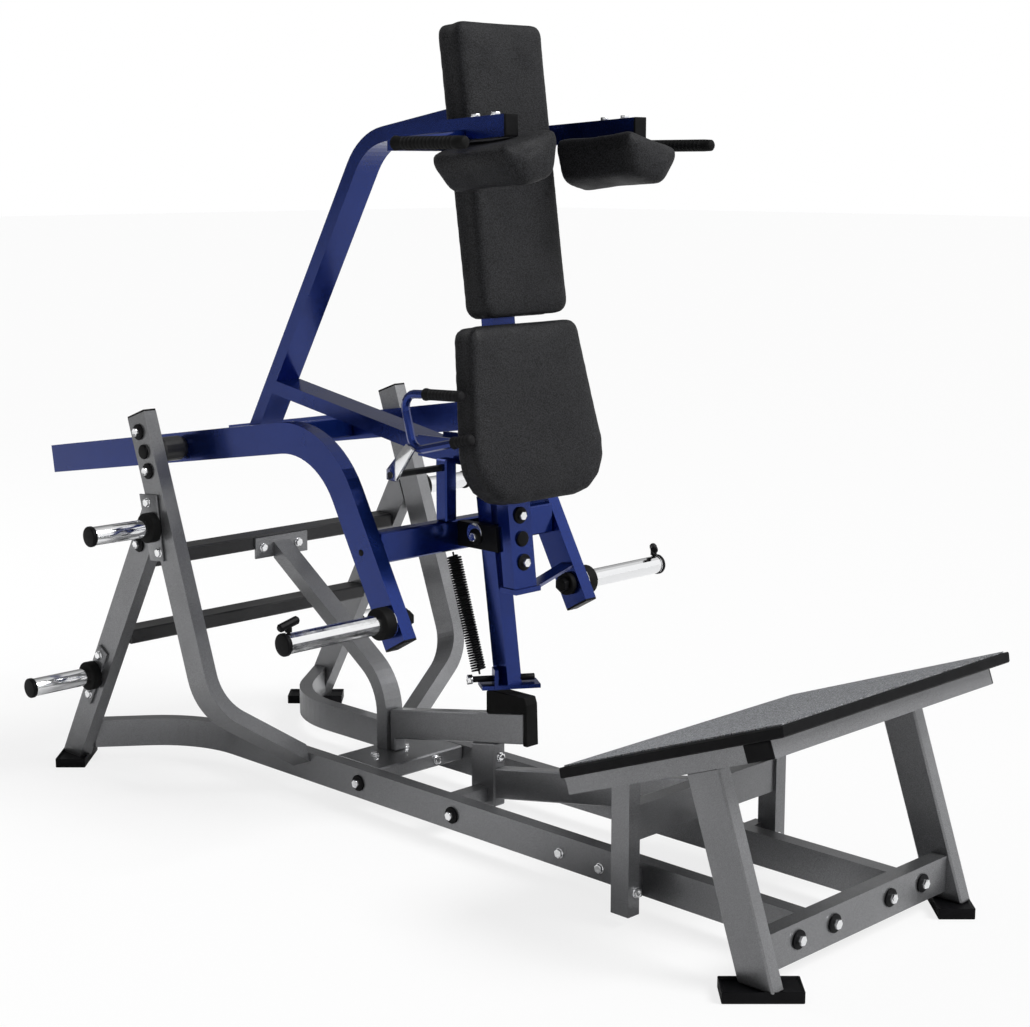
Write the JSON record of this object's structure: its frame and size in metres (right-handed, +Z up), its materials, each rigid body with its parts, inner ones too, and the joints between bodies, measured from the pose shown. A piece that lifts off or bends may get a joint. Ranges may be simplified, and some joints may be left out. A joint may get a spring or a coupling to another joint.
{
  "type": "v-squat machine",
  "caption": "Plate-loaded V-squat machine: blue lever frame with back, hip and shoulder pads on a grey floor frame with a sloping foot platform.",
  "frame": {"origin": "on the floor, in the middle of the whole machine's bounding box", "axes": "+Z up, +Y along the machine from the foot platform to the rear legs, +X across it, to the right hand of someone who looks from the platform to the rear"},
  "size_m": [1.388, 2.8017, 2.0752],
  "materials": {
    "grey_paint": "satin metallic grey powder coat",
    "dark_paint": "satin dark grey powder coat",
    "blue_paint": "glossy dark blue metallic powder coat",
    "chrome": "polished chrome plate",
    "black_plastic": "moulded black plastic",
    "black_rubber": "smooth black rubber",
    "upholstery": "grained black synthetic leather",
    "grip_mat": "speckled grey grip mat"
  },
  "bodies": {
    "base": {"base_rail_left": "grey_paint", "base_rail_right": "grey_paint", "centre_brace": "grey_paint", "centre_tie": "grey_paint", "centre_tube": "grey_paint", "front_cross_bar": "grey_paint", "front_foot_left": "black_plastic", "front_foot_right": "black_plastic", "front_leg_left": "grey_paint", "front_leg_right": "grey_paint", "pivot_shaft_left": "dark_paint", "pivot_shaft_right": "dark_paint", "platform_board": "black_plastic", "platform_mat": "grip_mat", "platform_subframe": "grey_paint", "platform_support": "grey_paint", "rear_cross_lower": "dark_paint", "rear_cross_upper": "dark_paint", "rear_foot_left": "black_plastic", "rear_foot_right": "black_plastic", "rear_leg_left": "grey_paint", "rear_leg_right": "grey_paint", "stop_beam": "grey_paint", "stop_bumper": "black_rubber", "stop_post": "grey_paint", "storage_horn_lower_left": "chrome", "storage_horn_lower_right": "chrome", "storage_horn_upper_left": "chrome", "storage_horn_upper_right": "chrome", "upright_left": "grey_paint", "upright_right": "grey_paint"},
    "lever": {"back_pad": "upholstery", "brace_beam": "blue_paint", "handle_post": "blue_paint", "hip_pad": "upholstery", "lever_arm_left": "blue_paint", "lever_arm_right": "blue_paint", "lever_cross_lower": "blue_paint", "lever_cross_rear": "blue_paint", "mast": "blue_paint", "prop_guide_left": "black_plastic", "prop_guide_right": "black_plastic", "shoulder_grip_left": "black_rubber", "shoulder_grip_right": "black_rubber", "shoulder_pad_left": "upholstery", "shoulder_pad_right": "upholstery", "spine": "blue_paint", "spine_foot_plate": "blue_paint", "weight_horn_left": "chrome", "weight_horn_right": "chrome", "yoke": "blue_paint"},
    "prop": {"prop_tube": "blue_paint", "prop_spring": "dark_paint"},
    "handle": {"handle_shaft": "dark_paint", "handle_loop": "blue_paint", "handle_grip_upper": "black_rubber", "handle_grip_lower": "black_rubber"},
    "pin_left": {"lock_pin_left": "black_plastic"},
    "pin_right": {"lock_pin_right": "black_plastic"}
  },
  "joints": [
    {"name": "lever_swing", "type": "hinge", "parent": "base", "child": "lever", "pos_m": [0, 0.7307, 0.963], "axis": [1, 0, 0], "range_deg": [-4, 15]},
    {"name": "prop_slide", "type": "slide", "parent": "lever", "child": "prop", "axis": [0, 0.1357, 0.9907], "range_m": [-0.075, 0.26], "deforming": ["prop_spring"]},
    {"name": "handle_turn", "type": "hinge", "parent": "lever", "child": "handle", "pos_m": [0, -0.0453, 0.962], "axis": [-1, 0, 0], "range_deg": [0, 25]},
    {"name": "lock_pin_left_lift", "type": "slide", "parent": "lever", "child": "pin_left", "axis": [0, 0, 1], "range_m": [0, 0.07]},
    {"name": "lock_pin_right_lift", "type": "slide", "parent": "lever", "child": "pin_right", "axis": [0, 0, 1], "range_m": [0, 0.07]}
  ],
  "couplings": [
    {"joint": "prop_slide", "follows": "lever_swing", "m_per_rad": 0.94}
  ]
}
